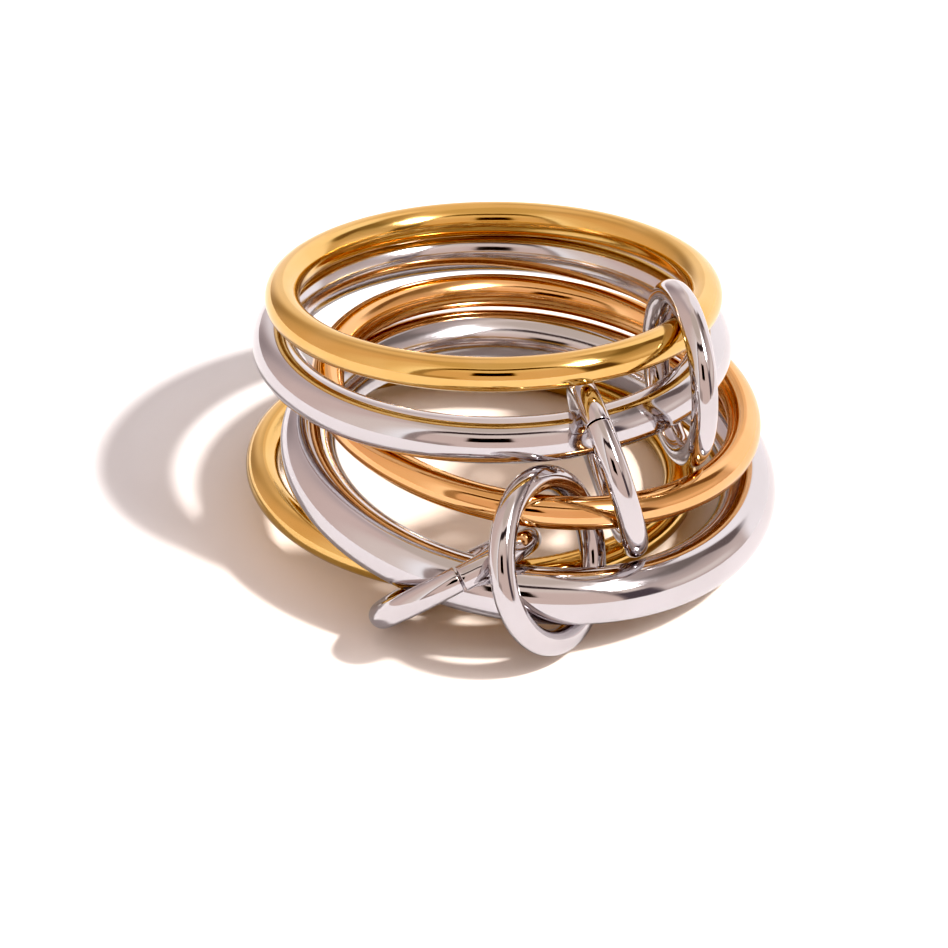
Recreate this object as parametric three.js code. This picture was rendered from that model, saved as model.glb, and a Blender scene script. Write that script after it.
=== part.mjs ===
// A stack of five plain round-wire finger bands, joined one to the next by four small wire links.
// It lies on its side, as it comes to rest when it is set down: each band leans on the one below it,
// close together at the back and fanned out at the front. X is to the right, Y is away, Z is up.
import * as THREE from "three";

// Driving sizes, in millimetres
const fingerHole = 17.3; // clear diameter inside every band
const topWire = 1.56;
const upperWire = 2.08;
const middleWire = 1.5;
const heavyWire = 2.52;
const baseWire = 1.52;
const linkWire = 1.18;
const linkPlay = 2.04; // spare room in a link's hole beside the two thickest wires that meet in it
const clearance = 0.1; // least gap between any two pieces
const closedSeam = 0.07; // gap between a link's ends that are pressed together
const openSeam = 0.1; // gap between a link's ends that stand slightly apart
const seamStep = 0.06; // how far those two ends stand side by side

// Facets
const bandWireSides = 12;
const bandSteps = 72;
const linkWireSides = 6;
const linkSteps = 16;

// How finely two rings are searched for their closest points, and a band is let down
const searchSteps = 480;
const lastDrop = 0.002;
const easeRounds = 200;

const meetingWires = Math.max(
  topWire + upperWire, upperWire + middleWire, middleWire + heavyWire, heavyWire + baseWire);
const linkHole = meetingWires + linkPlay;

const yellow = { color: 0xe2b457, roughness: 0.12, metalness: 1 };
const rose = { color: 0xe6a878, roughness: 0.12, metalness: 1 };
const silver = { color: 0xd8cfce, roughness: 0.1, metalness: 1 };

// The bands from the lowest up. Rise lifts the front edge and drop lowers the right edge, in degrees.
// Right and back place a band's centre from the lowest band's, as shares of the finger hole.
const bandRows = [
  { name: "band_base_yellow", wire: baseWire, metal: yellow, rise: 3.2, drop: 2.3, right: 0, back: 0 },
  { name: "band_heavy_silver", wire: heavyWire, metal: silver, rise: -1.3, drop: 7.3, right: 0.147, back: -0.152 },
  { name: "band_middle_rose", wire: middleWire, metal: rose, rise: 2.3, drop: 7.4, right: 0.167, back: -0.064 },
  { name: "band_upper_silver", wire: upperWire, metal: silver, rise: 6.9, drop: 0.7, right: 0.053, back: 0.03 },
  { name: "band_top_yellow", wire: topWire, metal: yellow, rise: 11.3, drop: -0.2, right: 0.057, back: 0.026 },
];

// The links. Around is where one holds its two bands, in degrees from the right-hand side about their
// centres. Out and up place its centre from the bands' wires there, as shares of its own hole's radius.
// Turn swings its axis about the vertical from the bands' own direction, and tip then raises the axis.
// Seam is where its ends meet, in degrees round the link from its highest point.
const linkRows = [
  { name: "link_lower", holds: ["band_heavy_silver", "band_base_yellow"],
    around: -102.1, out: -0.045, up: 0.071, turn: -32.3, tip: -49.1, seam: 34, seamGap: openSeam, step: seamStep },
  { name: "link_front", holds: ["band_middle_rose", "band_heavy_silver"],
    around: -86.3, out: 0.054, up: -0.078, turn: -32.1, tip: 19.5 },
  { name: "link_centre", holds: ["band_upper_silver", "band_middle_rose"],
    around: -63.2, out: -0.107, up: -0.015, turn: -12.8, tip: 13.6, seam: 24, seamGap: closedSeam, step: 0 },
  { name: "link_right", holds: ["band_top_yellow", "band_upper_silver"],
    around: -28.7, out: -0.029, up: -0.207, turn: -45.1, tip: -2.6 },
];

const upright = new THREE.Vector3(0, 0, 1);
const radians = THREE.MathUtils.degToRad;

// A ring of wire, known by its centre, its axis, the radius of its centre line and its wire
function makeRing(hole, wire, axis) {
  return { centre: new THREE.Vector3(), axis: axis.normalize(), radius: (hole + wire) / 2, wire };
}

// The ring's own directions: high points to its highest place, side completes the plane
function ringDirections(ring) {
  const high = upright.clone().projectOnPlane(ring.axis);
  if (high.length() < 1e-6) high.set(1, 0, 0);
  high.normalize();
  return { high, side: ring.axis.clone().cross(high) };
}

function pointOnRing(ring, { high, side }, angle) {
  return ring.centre.clone()
    .addScaledVector(high, ring.radius * Math.cos(angle))
    .addScaledVector(side, ring.radius * Math.sin(angle));
}

// The place on a ring's centre line that lies in a given direction round the vertical
function pointAtAzimuth(ring, azimuth) {
  const across = new THREE.Vector3(-Math.sin(azimuth), Math.cos(azimuth), 0);
  return across.cross(ring.axis).setLength(ring.radius).add(ring.centre);
}

function nearestOnRing(ring, point) {
  return point.clone().sub(ring.centre).projectOnPlane(ring.axis).setLength(ring.radius).add(ring.centre);
}

// The closest points of two rings' centre lines, and how much room there is between their wires
function closestPoints(ring, other) {
  const directions = ringDirections(ring);
  let closest = { distance: Infinity };
  for (let step = 0; step < searchSteps; step += 1) {
    const here = pointOnRing(ring, directions, (step / searchSteps) * 2 * Math.PI);
    const there = nearestOnRing(other, here);
    const distance = here.distanceTo(there);
    if (distance < closest.distance) closest = { here, there, distance };
  }
  return { ...closest, room: closest.distance - (ring.wire + other.wire) / 2 };
}

// Half of a ring's height as it leans
function halfHeight(ring) {
  return ring.radius * Math.sqrt(1 - ring.axis.z ** 2) + ring.wire / 2;
}

// Lets a band down from above until it just keeps the clearance to the bands below it
function letDown(band, below) {
  const top = Math.max(0, ...below.map((other) => other.centre.z + halfHeight(other)));
  band.centre.z = top + clearance + halfHeight(band);
  for (let drop = band.wire; drop > lastDrop; drop /= 2) {
    while (below.every((other) => closestPoints(band, other).room >= clearance)) band.centre.z -= drop;
    band.centre.z += drop;
  }
}

// Moves a link off whatever it comes too near, a little at a time, and keeps it above the surface
function easeClear(link, others) {
  for (let round = 0, moved = true; moved && round < easeRounds; round += 1) {
    moved = false;
    for (const other of others) {
      const { here, there, room } = closestPoints(link, other);
      if (room < clearance) {
        link.centre.addScaledVector(here.sub(there).normalize(), clearance - room + lastDrop / 4);
        moved = true;
      }
    }
    link.centre.z = Math.max(link.centre.z, halfHeight(link));
  }
}

function poseBand(row, base, below) {
  const rise = radians(row.rise);
  const drop = radians(row.drop);
  const axis = new THREE.Vector3(
    Math.sin(drop), Math.sin(rise) * Math.cos(drop), Math.cos(rise) * Math.cos(drop));
  const band = makeRing(fingerHole, row.wire, axis);
  if (below.length === 0) {
    band.centre.z = halfHeight(band);
    return band;
  }
  band.centre.set(base.centre.x + row.right * fingerHole, base.centre.y + row.back * fingerHole, 0);
  letDown(band, below);
  return band;
}

function poseLink(row, upper, lower) {
  const around = radians(row.around);
  const heading = around + Math.PI / 2 + radians(row.turn);
  const tip = radians(row.tip);
  const axis = new THREE.Vector3(
    Math.cos(heading) * Math.cos(tip), Math.sin(heading) * Math.cos(tip), Math.sin(tip));
  const link = makeRing(linkHole, linkWire, axis);
  link.centre.addVectors(pointAtAzimuth(upper, around), pointAtAzimuth(lower, around)).divideScalar(2);
  link.centre.x += Math.cos(around) * row.out * linkHole / 2;
  link.centre.y += Math.sin(around) * row.out * linkHole / 2;
  link.centre.z += row.up * linkHole / 2;
  return link;
}

// The centre line of a link whose ends meet at a seam, at its start and finish
class SeamedRing extends THREE.Curve {
  constructor(ring, row) {
    super();
    this.ring = ring;
    this.row = row;
  }

  getPoint(share) {
    const seamAngle = this.row.seamGap / this.ring.radius;
    const angle = radians(this.row.seam) + seamAngle / 2 + share * (2 * Math.PI - seamAngle);
    return new THREE.Vector3(
      this.ring.radius * Math.cos(angle), this.ring.radius * Math.sin(angle), (share - 0.5) * this.row.step);
  }
}

function wireSection(diameter, sides) {
  const corners = [];
  for (let side = 0; side < sides; side += 1) {
    const angle = (side / sides) * 2 * Math.PI;
    corners.push(new THREE.Vector2(Math.cos(angle), Math.sin(angle)).multiplyScalar(diameter / 2));
  }
  return new THREE.Shape(corners);
}

function bandGeometry(band) {
  return new THREE.TorusGeometry(band.radius, band.wire / 2, bandWireSides, bandSteps);
}

function linkGeometry(link, row) {
  if (row.seam === undefined) {
    return new THREE.TorusGeometry(link.radius, link.wire / 2, linkWireSides, linkSteps);
  }
  return new THREE.ExtrudeGeometry(wireSection(link.wire, linkWireSides), {
    extrudePath: new SeamedRing(link, row), steps: linkSteps, bevelEnabled: false });
}

// Places a shape made about the Z axis, with X towards the ring's highest point
function placedMesh(name, geometry, metal, ring) {
  const { high, side } = ringDirections(ring);
  const mesh = new THREE.Mesh(geometry, new THREE.MeshStandardMaterial(metal));
  mesh.name = name;
  mesh.setRotationFromMatrix(new THREE.Matrix4().makeBasis(high, side, ring.axis));
  mesh.position.copy(ring.centre);
  return mesh;
}

const stack = new THREE.Group();
const bands = new Map();
for (const row of bandRows) {
  const below = [...bands.values()];
  const band = poseBand(row, below[0], below);
  bands.set(row.name, band);
  stack.add(placedMesh(row.name, bandGeometry(band), row.metal, band));
}

const settled = [...bands.values()];
for (const row of linkRows) {
  const link = poseLink(row, ...row.holds.map((name) => bands.get(name)));
  easeClear(link, settled);
  settled.push(link);
  stack.add(placedMesh(row.name, linkGeometry(link, row), silver, link));
}

// The origin is under the middle of the whole stack, on the surface that it lies on
const extent = new THREE.Box3().setFromObject(stack, true);
const middle = extent.getCenter(new THREE.Vector3());
stack.position.set(-middle.x, -middle.y, -extent.min.z);

const part = new THREE.Group();
part.add(stack);
part.updateMatrixWorld(true);

export default part;
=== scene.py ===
# Looks for a stack of five linked finger bands: smooth wires, polished metals, floor, lights and camera.
from math import cos, pi, radians, sin

import bmesh
import bpy
import numpy as np
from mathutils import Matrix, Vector


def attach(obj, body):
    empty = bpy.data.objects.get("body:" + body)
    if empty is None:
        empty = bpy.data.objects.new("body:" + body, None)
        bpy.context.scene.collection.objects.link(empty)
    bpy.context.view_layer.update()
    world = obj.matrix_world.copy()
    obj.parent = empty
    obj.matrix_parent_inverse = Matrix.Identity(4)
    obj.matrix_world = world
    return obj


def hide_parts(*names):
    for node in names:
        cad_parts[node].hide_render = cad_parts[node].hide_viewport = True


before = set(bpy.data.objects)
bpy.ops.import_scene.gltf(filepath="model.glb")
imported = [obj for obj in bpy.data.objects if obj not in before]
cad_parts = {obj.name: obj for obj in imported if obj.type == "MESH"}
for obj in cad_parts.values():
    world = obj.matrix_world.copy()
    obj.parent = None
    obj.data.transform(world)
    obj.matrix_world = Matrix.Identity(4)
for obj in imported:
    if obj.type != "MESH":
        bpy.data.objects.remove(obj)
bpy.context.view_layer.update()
print("frame loaded")


class Signal:  # one output of a node, so that sums on it can be written as they are read
    def __init__(self, sheet, socket):
        self.sheet = sheet
        self.socket = socket

    def __getitem__(self, name):  # another output of the same node
        return Signal(self.sheet, self.socket.node.outputs[name])

    def __add__(self, other):
        return self.sheet.maths("ADD", self, other)

    def __radd__(self, other):
        return self.sheet.maths("ADD", other, self)

    def __sub__(self, other):
        return self.sheet.maths("SUBTRACT", self, other)

    def __rsub__(self, other):
        return self.sheet.maths("SUBTRACT", other, self)

    def __mul__(self, other):
        return self.sheet.maths("MULTIPLY", self, other)

    def __rmul__(self, other):
        return self.sheet.maths("MULTIPLY", other, self)

    def __truediv__(self, other):
        return self.sheet.maths("DIVIDE", self, other)

    def __rtruediv__(self, other):
        return self.sheet.maths("DIVIDE", other, self)

    def __neg__(self):
        return self.sheet.maths("MULTIPLY", self, -1)


class Sheet:  # the nodes of one material or of the world
    def __init__(self, owner):
        owner.use_nodes = True
        self.tree = owner.node_tree
        self.tree.nodes.clear()

    def add(self, kind, settings=None, sockets=None):  # every node comes from here
        node = self.tree.nodes.new("ShaderNode" + kind)
        for name, value in (settings or {}).items():
            setattr(node, name, value)
        for name, value in (sockets or {}).items():
            if isinstance(value, Signal):
                self.tree.links.new(value.socket, node.inputs[name])
            else:
                node.inputs[name].default_value = value
        return Signal(self, node.outputs[0]) if node.outputs else None

    def maths(self, operation, first, second=0.0):
        return self.add("Math", {"operation": operation}, {0: first, 1: second})

    def smooth(self, value, start, whole):  # an eased step from 0 at start to 1 at whole, rising or falling
        return self.add("MapRange", {"interpolation_type": "SMOOTHSTEP"}, {0: value, 1: start, 2: whole})

    def mix(self, share, first, second):  # two colours
        mixed = self.add("Mix", {"data_type": "RGBA"}, {0: share, 6: first, 7: second})
        return Signal(self, mixed.socket.node.outputs[2])


def colour(red, green, blue):
    return (red, green, blue, 1.0)


# Camera at the photograph's angle
cameraView = {
    "elevation": 33.95,  # degrees above the floor
    "distance": 0.45,
    "lens": 377.7,
    "sensor": 36.0,
    "aim": (-0.00162, 0.00357, 0.00014),
    "nearest": 0.005,
    "farthest": 20,
}


def placeCamera(row):
    tilt = radians(row["elevation"])
    data = bpy.data.cameras.new("photoCamera")
    data.lens = row["lens"]
    data.sensor_width = row["sensor"]
    data.clip_start = row["nearest"]
    data.clip_end = row["farthest"]
    camera = bpy.data.objects.new("photoCamera", data)
    camera.location = Vector(row["aim"]) + row["distance"] * Vector((0, -cos(tilt), sin(tilt)))
    camera.rotation_euler = (pi / 2 - tilt, 0, 0)
    bpy.context.scene.collection.objects.link(camera)
    bpy.context.scene.camera = camera


placeCamera(cameraView)
print("camera placed")

ringFit = {"rounds": 6, "upright": (0, 0, 1.0)}


# Finds a ring's centre, directions and radius, and its wire's radius, from its solid's corners
def readRing(name, row, seam=None):
    corners = np.array([v.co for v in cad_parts[name].data.vertices], float)
    upright = np.array(row["upright"])
    towards = np.array(seam["axisHint"]) if seam else upright
    centre = corners.mean(0)
    flat = corners.copy()
    for _ in range(row["rounds"]):
        axis = np.linalg.svd(flat - flat.mean(0), full_matrices=False)[2][2]
        if axis @ towards < 0:
            axis = -axis
        high = upright - axis[2] * axis
        high /= np.linalg.norm(high)
        side = np.cross(axis, high)
        across = (corners - centre) @ high
        along = (corners - centre) @ side
        circle = np.linalg.lstsq(
            np.column_stack((across, along, np.ones(len(across)))), across ** 2 + along ** 2, rcond=None)[0]
        centre = centre + high * circle[0] / 2 + side * circle[1] / 2
        across = (corners - centre) @ high
        along = (corners - centre) @ side
        flat = corners.copy()
        if seam:  # the corners as they would be with no step between the wire's ends
            turned = np.mod(np.arctan2(along, across) - radians(seam["angle"]), 2 * pi) / (2 * pi)
            flat = corners - np.outer((turned - 0.5) * seam["step"], axis)
        centre = centre + axis * ((flat - centre) @ axis).mean()
    away = np.hypot(across, along)
    radius = (away.max() + away.min()) / 2
    wire = np.hypot(away - radius, (flat - centre) @ axis).max()
    return {"centre": centre, "axis": axis, "high": high, "side": side, "radius": radius, "wireRadius": wire}


# A round wire on the ring's centre line, closed, or with two rounded ends that meet at a seam
def sweepWire(name, ring, row):
    body = bmesh.new()
    seam = row.get("seam")
    gap = seam["gap"] / ring["radius"] if seam else 0.0
    start = radians(seam["angle"]) + gap / 2 if seam else 0.0
    shares = [step / row["steps"] for step in range(row["steps"] + 1 if seam else row["steps"])]
    thinner = [0.0] * len(shares)
    if seam:
        reach = row["endRound"] / (2 * pi * ring["radius"])
        turns = [radians(90 * step / row["endSteps"]) for step in range(row["endSteps"] + 1)]
        ends = [reach * (1 - cos(turn)) for turn in turns]
        shaved = [row["endRound"] * (1 - sin(turn)) for turn in turns]
        clear = row["endClear"] * reach
        middle = [share for share in shares if clear < share < 1 - clear]
        shares = ends + middle + [1 - share for share in reversed(ends)]
        thinner = shaved + [0.0] * len(middle) + shaved[::-1]
    sections = []
    spots = []
    for share, thin in zip(shares, thinner):
        angle = start + share * (2 * pi - gap)
        lift = (share - 0.5) * seam["step"] if seam else 0.0
        half = ring["wireRadius"] - thin
        section = []
        for side in range(row["sides"]):
            turn = side / row["sides"] * 2 * pi
            out = ring["radius"] + half * cos(turn)
            spot = (out * cos(angle), out * sin(angle), lift + half * sin(turn))
            place = ring["centre"] + spot[0] * ring["high"] + spot[1] * ring["side"] + spot[2] * ring["axis"]
            section.append(body.verts.new(place))
            spots.append(spot)
        sections.append(section)
    pairs = list(zip(sections, sections[1:])) + ([] if seam else [(sections[-1], sections[0])])
    for first, second in pairs:
        for side in range(row["sides"]):
            after = (side + 1) % row["sides"]
            body.faces.new((first[side], second[side], second[after], first[after]))
    if seam:
        body.faces.new(sections[0])
        body.faces.new(list(reversed(sections[-1])))
    bmesh.ops.recalc_face_normals(body, faces=body.faces)
    mesh = bpy.data.meshes.new(name)
    body.to_mesh(mesh)
    body.free()
    for face in mesh.polygons:
        face.use_smooth = len(face.vertices) == 4
    # The ring's own X, Y and Z, for the polish
    ownPlace = mesh.attributes.new("ownPlace", "FLOAT_VECTOR", "POINT")
    ownPlace.data.foreach_set("vector", np.array(spots, float).ravel())
    piece = bpy.data.objects.new(name, mesh)
    bpy.context.scene.collection.objects.link(piece)
    return piece


# Polished metals. A noise has its scale and detail, and a step has where it starts and where it is whole.
polish = {
    "cloud": (260.0, 3.0),
    "cloudStep": (0.35, 0.65),
    "fine": (2600.0, 4.0),
    "fineStep": (0.5, 0.7),
    "fineRough": 0.02,
    "wave": (700.0, 1.0),
    "lines": (1.0, 2.0),
    "lineAcross": 16000,  # the polishing lines are close together across the wire
    "lineRound": 5,  # and long round the ring
    "inside": (0.0094, 0.0090),  # the inside of a band, by its distance from the axis
}
bandPolish = {**polish, "rough": 0.085, "worn": 0.045, "waveDepth": 0.000005, "lineDepth": 0.0000004}
linkPolish = {**polish, "rough": 0.075, "worn": 0.0, "waveDepth": 0.000002, "lineDepth": 0.0000003}
yellowGold = {**bandPolish, "tone": (0.785, 0.57, 0.272), "deep": (0.76, 0.535, 0.24)}
roseGold = {**bandPolish, "tone": (0.84, 0.555, 0.315), "deep": (0.81, 0.525, 0.28)}
silver = {**bandPolish, "tone": (0.67, 0.655, 0.675), "deep": (0.65, 0.635, 0.65)}
linkSilver = {**linkPolish, "tone": (0.67, 0.65, 0.665), "deep": (0.64, 0.62, 0.63)}


def polishedMetal(name, row):
    material = bpy.data.materials.new(name)
    sheet = Sheet(material)
    place = sheet.add("Attribute", {"attribute_name": "ownPlace"})["Vector"]
    spot = sheet.add("SeparateXYZ", None, {0: place})
    across = sheet.maths("SQRT", spot["X"] * spot["X"] + spot["Y"] * spot["Y"])

    def noise(kind):
        scale, detail = row[kind]
        return sheet.add("TexNoise", None, {"Vector": place, "Scale": scale, "Detail": detail})

    close = row["lineAcross"]
    along = row["lineRound"]
    scale, detail = row["lines"]
    section = sheet.add("CombineXYZ", None,
                        {0: across * close, 1: spot["Z"] * close, 2: spot["X"] / across * along})
    lines = sheet.add("TexNoise", {"noise_dimensions": "4D"},
                      {"Vector": section, "W": spot["Y"] / across * along, "Scale": scale, "Detail": detail})
    height = noise("wave") * row["waveDepth"] + lines * row["lineDepth"]
    normal = sheet.add("Bump", None, {"Height": height, "Distance": 1.0})
    clouded = sheet.smooth(noise("cloud"), *row["cloudStep"])
    tone = sheet.mix(clouded, colour(*row["tone"]), colour(*row["deep"]))
    inside = sheet.smooth(across, *row["inside"])
    fine = sheet.smooth(noise("fine"), *row["fineStep"])
    rough = row["rough"] + row["worn"] * inside + row["fineRough"] * fine
    metal = sheet.add("BsdfPrincipled", None,
                      {"Base Color": tone, "Metallic": 1.0, "Roughness": rough, "Normal": normal})
    sheet.add("OutputMaterial", None, {"Surface": metal})
    return material


finishes = {
    "yellow_gold": polishedMetal("yellowGold", yellowGold),
    "rose_gold": polishedMetal("roseGold", roseGold),
    "silver": polishedMetal("silver", silver),
    "link_silver": polishedMetal("linkSilver", linkSilver),
}
print("metals mixed")

# Sizes are in metres and a seam's angle in degrees. The sections between a link's rounded ends keep off them
# by endClear times their reach.
bandShape = {"steps": 288, "sides": 48}
linkShape = {"steps": 160, "sides": 40, "endRound": 0.00004, "endSteps": 4, "endClear": 1.5}
pieces = {
    "band_base_yellow": {**bandShape, "slot": "yellow_gold"},
    "band_heavy_silver": {**bandShape, "slot": "silver"},
    "band_middle_rose": {**bandShape, "slot": "rose_gold"},
    "band_upper_silver": {**bandShape, "slot": "silver"},
    "band_top_yellow": {**bandShape, "slot": "yellow_gold"},
    "link_lower": {**linkShape, "slot": "link_silver",
                   "seam": {"angle": 34, "gap": 0.0001, "step": 0.00006, "axisHint": (0.46, -0.46, -0.76)}},
    "link_front": {**linkShape, "slot": "link_silver"},
    "link_centre": {**linkShape, "slot": "link_silver",
                    "seam": {"angle": 24, "gap": 0.00007, "step": 0.0, "axisHint": (0.94, 0.24, 0.24)}},
    "link_right": {**linkShape, "slot": "link_silver"},
}
for node, row in pieces.items():
    ring = readRing(node, ringFit, row.get("seam"))
    piece = sweepWire("smooth_" + node, ring, row)
    piece.data.materials.append(finishes[row["slot"]])
    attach(piece, "root")
    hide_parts(node)
    print(node, "radius", round(ring["radius"] * 1000, 3), "wire radius", round(ring["wireRadius"] * 1000, 3))
print("pieces made")

# Floor
floorLook = {
    "half": 0.1,
    "below": 0.00002,  # just under the lowest wires
    "tone": (0.90, 0.88, 0.87),
    "near": (0.95, 0.84, 0.735),  # painted warm glow near the stack, standing in for light bounced off the metals
    "nearStep": (0.007, 0.019),
    "inMetal": (0.73, 0.707, 0.70),  # as the metals reflect it
    "rough": 0.9,
}


def layFloor(row):
    body = bmesh.new()
    half = row["half"]
    corners = ((-half, -half), (half, -half), (half, half), (-half, half))
    body.faces.new([body.verts.new((x, y, -row["below"])) for x, y in corners])
    mesh = bpy.data.meshes.new("floor")
    body.to_mesh(mesh)
    body.free()
    floor = bpy.data.objects.new("floor", mesh)
    bpy.context.scene.collection.objects.link(floor)
    material = bpy.data.materials.new("palePaper")
    sheet = Sheet(material)
    away = sheet.add("VectorMath", {"operation": "LENGTH"}, {0: sheet.add("TexCoord")["Object"]})["Value"]
    # Painted light: the floor's colour turns warmer close to the stack, a painted glow of light bounced from
    # the metals
    tone = sheet.mix(sheet.smooth(away, *row["nearStep"]), colour(*row["near"]), colour(*row["tone"]))
    tone = sheet.mix(sheet.add("LightPath")["Is Glossy Ray"], tone, colour(*row["inMetal"]))
    paper = sheet.add("BsdfPrincipled", None,
                      {"Base Color": tone, "Roughness": row["rough"], "Specular IOR Level": 0.0})
    sheet.add("OutputMaterial", None, {"Surface": paper})
    mesh.materials.append(material)


layFloor(floorLook)
print("floor laid")

# The studio round the stack, its areas in the order in which they are laid over each other. An area shows by
# the product of its steps, each from where it starts to where it is whole. Azimuth is in degrees from the
# camera's side to the right, elevation in degrees above the floor. The rest comes from studioShapes.
studio = {
    "farLeft": {"light": (0.70, 0.59, 0.57)},
    "wall": {"light": (0.89, 0.72, 0.66), "azimuth": [(-145, -105)]},
    "nearLeft": {"light": (0.99, 0.86, 0.79), "azimuth": [(-95, -65)]},
    "over": {"light": (0.80, 0.69, 0.61), "elevation": [(66, 74)]},
    "right": {"light": (0.81, 0.68, 0.63),
              "azimuth": [(60, 64), (152, 148)], "elevation": [(66, 50)]},
    "rightHigh": {"light": (0.60, 0.51, 0.48),
                  "azimuth": [(60, 64), (152, 148)], "elevation": [(18, 44), (68, 56)]},
    "rightFoot": {"light": (1.0, 0.88, 0.82),
                  "azimuth": [(60, 76), (112, 96)], "elevation": [(0, 8), (21, 13)]},
    "streak": {"light": (0.36, 0.31, 0.29),
               "azimuth": [(76, 98), (139, 133)], "elevation": [(38, 44), (56, 50)]},
    "backRight": {"light": (1.22, 1.15, 1.14),
                  "azimuth": [(133, 143), (171, 161)], "elevation": [(24, 32), (54, 46)]},
    "patch": {"light": (0.30, 0.25, 0.24),
              "azimuth": [(113.5, 116.5), (137.5, 134.5)], "elevation": [(27, 29), (44, 42)]},
    "opening": {"light": (1.22, 1.15, 1.14), "fromOpening": [(1400, 950)]},
    "leftCorner": {"light": (0.52, 0.44, 0.43),
                   "azimuth": [(-160, -144), (-130, -146)], "elevation": [(34, 4)]},
    "leftHigh": {"light": (0.98, 0.85, 0.80),
                 "azimuth": [(-132, -162)], "elevation": [(28, 44), (76, 60)]},
    "leftOpen": {"light": (1.06, 0.97, 0.95),
                 "azimuth": [(-150, -168)], "elevation": [(38, 14)]},
    # A lit strip that brightens slowly, by the same step twice, and then ends sharply
    "strip": {"light": (1.22, 1.18, 1.17),
              "azimuth": [(-66, -40), (-66, -40), (-40, -41.5)], "elevation": [(68, 50)]},
    # A card in a dark frame, with a dark patch in its middle
    "frame": {"light": (0.52, 0.43, 0.40), "fromCard": [(1.05, 0.95)]},
    "frameTop": {"light": (0.12, 0.10, 0.10), "fromCard": [(1.05, 0.95)], "elevation": [(45, 60)]},
    "card": {"light": (0.91, 0.74, 0.67), "fromCard": [(0.45, 0.38)]},
    "cardTop": {"light": (0.98, 0.85, 0.77), "fromCard": [(0.45, 0.38)], "elevation": [(36, 50)]},
    "foot": {"light": (0.60, 0.49, 0.45),
             "azimuth": [(-43, -37), (-15, -21)], "elevation": [(9, 3)]},
    "dark": {"light": (0.22, 0.19, 0.20),
             "azimuth": [(44, 48), (66, 62)], "elevation": [(-5, 1), (28, 22)]},
    "cardPatch": {"light": (0.04, 0.035, 0.03),
                  "azimuth": [(-13, -11), (12, 10)], "elevation": [(21, 23), (41.5, 39.5)]},
    # The main light
    "hot": {"light": (3.0, 3.0, 3.0), "azimuth": [(54, 57), (106, 80)], "elevation": [(35, 40)],
            "overHotFoot": [(-1.5, 2.5)], "overHotTop": [(61, 56)]},
    "hotCore": {"light": (18.0, 18.0, 18.0),
                "azimuth": [(51, 55), (68, 64)], "elevation": [(36.5, 40.5), (53, 49)]},
}
studioShapes = {
    "opening": 148,  # azimuth of its middle, and distances from there are in squared degrees
    "card": {"middle": 5, "halfWide": 46, "halfTall": 65},  # a rounded rectangle, 1 at its edge
    "hotFoot": {"level": 62, "fall": 24, "from": 63, "over": 16},  # the foot line rises towards its level
    "hotTop": {"from": 57, "slope": 0.18},
}
roomLight = {
    "back": (0.56, 0.53, 0.54),  # what lights the matt floor from behind
    "front": (0.97, 0.88, 0.87),  # and from the camera's side
    "step": (-0.8, 0.8),
    "seen": (1.0, 1.0, 1.0),  # what the camera sees past the floor
}


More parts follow.
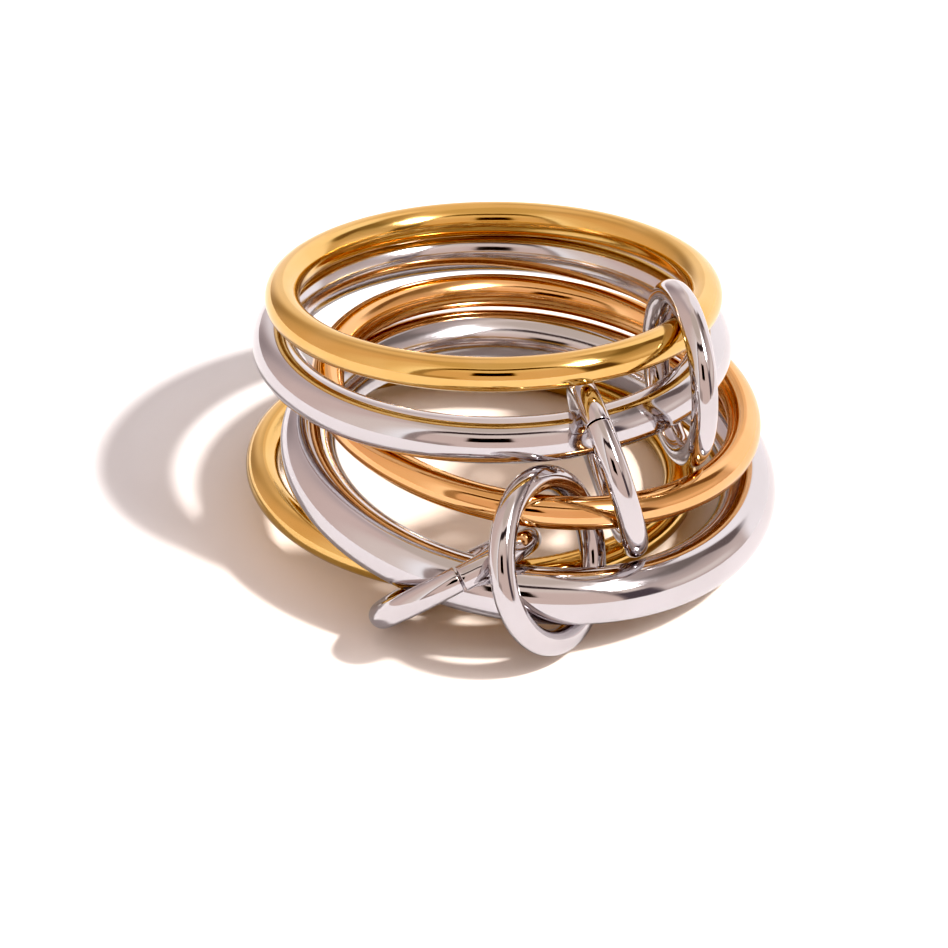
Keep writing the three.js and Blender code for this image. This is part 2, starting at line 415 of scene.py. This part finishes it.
def lightStudio(areas, shapes, room):
    world = bpy.data.worlds.new("studio")
    bpy.context.scene.world = world
    sheet = Sheet(world)
    heading = sheet.add("SeparateXYZ", None, {0: sheet.add("TexCoord")["Generated"]})
    towards = -heading["Y"]  # 1 on the camera's side, -1 behind
    azimuth = sheet.maths("ARCTAN2", heading["X"], towards) * (180 / pi)
    elevation = sheet.maths("ARCSINE", heading["Z"]) * (180 / pi)

    def power6(value):
        square = value * value
        return square * square * square

    card = shapes["card"]
    foot = shapes["hotFoot"]
    top = shapes["hotTop"]
    beside = azimuth - shapes["opening"]
    cardAcross = (azimuth - card["middle"]) / card["halfWide"]
    footLine = foot["level"] - foot["fall"] * sheet.maths("EXPONENT", (foot["from"] - azimuth) / foot["over"])
    measures = {
        "azimuth": azimuth,
        "elevation": elevation,
        "fromOpening": beside * beside + elevation * elevation,
        "fromCard": power6(cardAcross) + power6(elevation / card["halfTall"]),
        "overHotFoot": elevation - footLine,
        "overHotTop": elevation - top["slope"] * (azimuth - top["from"]),
    }

    def shareOf(area):
        steps = [sheet.smooth(measures[name], *step) for name in measures for step in area.get(name, [])]
        share = steps[0]
        for step in steps[1:]:
            share = share * step
        return share

    light = None
    for area in areas.values():
        tone = colour(*area["light"])
        light = tone if light is None else sheet.mix(shareOf(area), light, tone)
    path = sheet.add("LightPath")
    fill = sheet.mix(sheet.smooth(towards, *room["step"]), colour(*room["back"]), colour(*room["front"]))
    light = sheet.mix(path["Is Diffuse Ray"], light, fill)
    light = sheet.mix(path["Is Camera Ray"], light, colour(*room["seen"]))
    glow = sheet.add("Background", None, {"Color": light, "Strength": 1.0})
    sheet.add("OutputWorld", None, {"Surface": glow})


lightStudio(studio, studioShapes, roomLight)

sunLight = {"strength": 3.4, "spread": 5.0, "elevation": 51.5, "azimuth": 67.3, "distance": 0.5,
            "tone": (1.0, 0.99, 0.985)}


def hangSun(row):
    data = bpy.data.lights.new("sun", "SUN")
    data.energy = row["strength"]
    data.angle = radians(row["spread"])
    data.color = row["tone"]
    sun = bpy.data.objects.new("sun", data)
    azimuth = radians(row["azimuth"])
    rise = radians(row["elevation"])
    towards = Vector((sin(azimuth) * cos(rise), -cos(azimuth) * cos(rise), sin(rise)))
    sun.rotation_euler = towards.to_track_quat("Z", "Y").to_euler()
    sun.location = towards * row["distance"]
    bpy.context.scene.collection.objects.link(sun)


hangSun(sunLight)

# The print's contrast: the light that turns black and white, and points of the curve between them
contrast = {
    "black": 0.04,
    "white": 0.93,
    "points": ((0.07, 0.028), (0.18, 0.113), (0.35, 0.27), (0.63, 0.56)),
}


def setContrast(row):
    view = bpy.context.scene.view_settings
    view.view_transform = "Standard"
    view.use_curve_mapping = True
    curve = view.curve_mapping
    curve.black_level = (row["black"],) * 3
    curve.white_level = (row["white"],) * 3
    for light, tone in row["points"]:
        curve.curves[3].points.new(light, tone)  # the curve that all three colours share
    curve.update()


setContrast(contrast)

bounces = {"all": 16, "glossy": 12}  # enough for the reflections inside the stack
bpy.context.scene.cycles.max_bounces = bounces["all"]
bpy.context.scene.cycles.glossy_bounces = bounces["glossy"]
print("studio lit")
